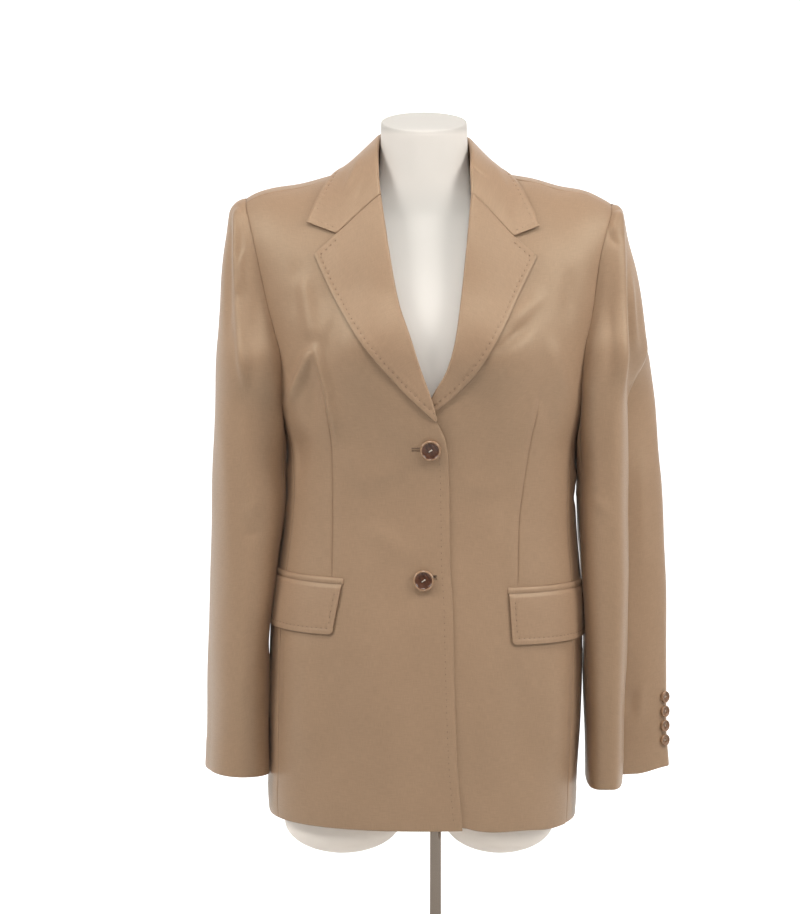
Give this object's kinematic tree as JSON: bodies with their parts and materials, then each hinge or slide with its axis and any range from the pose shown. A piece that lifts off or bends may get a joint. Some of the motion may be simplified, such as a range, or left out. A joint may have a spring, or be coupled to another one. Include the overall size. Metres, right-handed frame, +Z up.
{
  "type": "single-breasted blazer on a dress form",
  "caption": "Single-breasted blazer with notch lapels, flap pockets and buttoned cuffs, shown on a limbless dress form on a rod and round base.",
  "frame": {"origin": "centre of the round base's underside, on the axis of the rod", "axes": "+X to the wearer's left, which is the viewer's right from in front; -Y out of the front; +Z up along the rod"},
  "size_m": [0.5233, 0.27, 1.0525],
  "materials": {
    "wool": "fine woven wool, faint sheen",
    "wool_trim": "fine woven wool, faint sheen, pick stitched edges",
    "button": "polished brown, two-tone",
    "form": "smooth white shell",
    "chrome": "polished"
  },
  "bodies": {
    "root": {"front_right": "wool", "front_left": "wool", "back_right": "wool", "back_left": "wool", "side_right": "wool", "side_left": "wool", "sleeve_upper_right": "wool", "sleeve_under_right": "wool", "sleeve_upper_left": "wool", "sleeve_under_left": "wool", "collar_stand": "wool", "lapel_right": "wool_trim", "lapel_left": "wool_trim", "collar_fall": "wool_trim", "pocket_flap_right": "wool_trim", "pocket_flap_left": "wool_trim", "pocket_welt_right": "wool_trim", "pocket_welt_left": "wool_trim", "button_top": "button", "button_low": "button", "cuff_button_right_1": "button", "cuff_button_right_2": "button", "cuff_button_right_3": "button", "cuff_button_right_4": "button", "cuff_button_left_1": "button", "cuff_button_left_2": "button", "cuff_button_left_3": "button", "cuff_button_left_4": "button", "dress_form": "form", "stand_rod": "chrome", "stand_base": "chrome"}
  },
  "joints": []
}
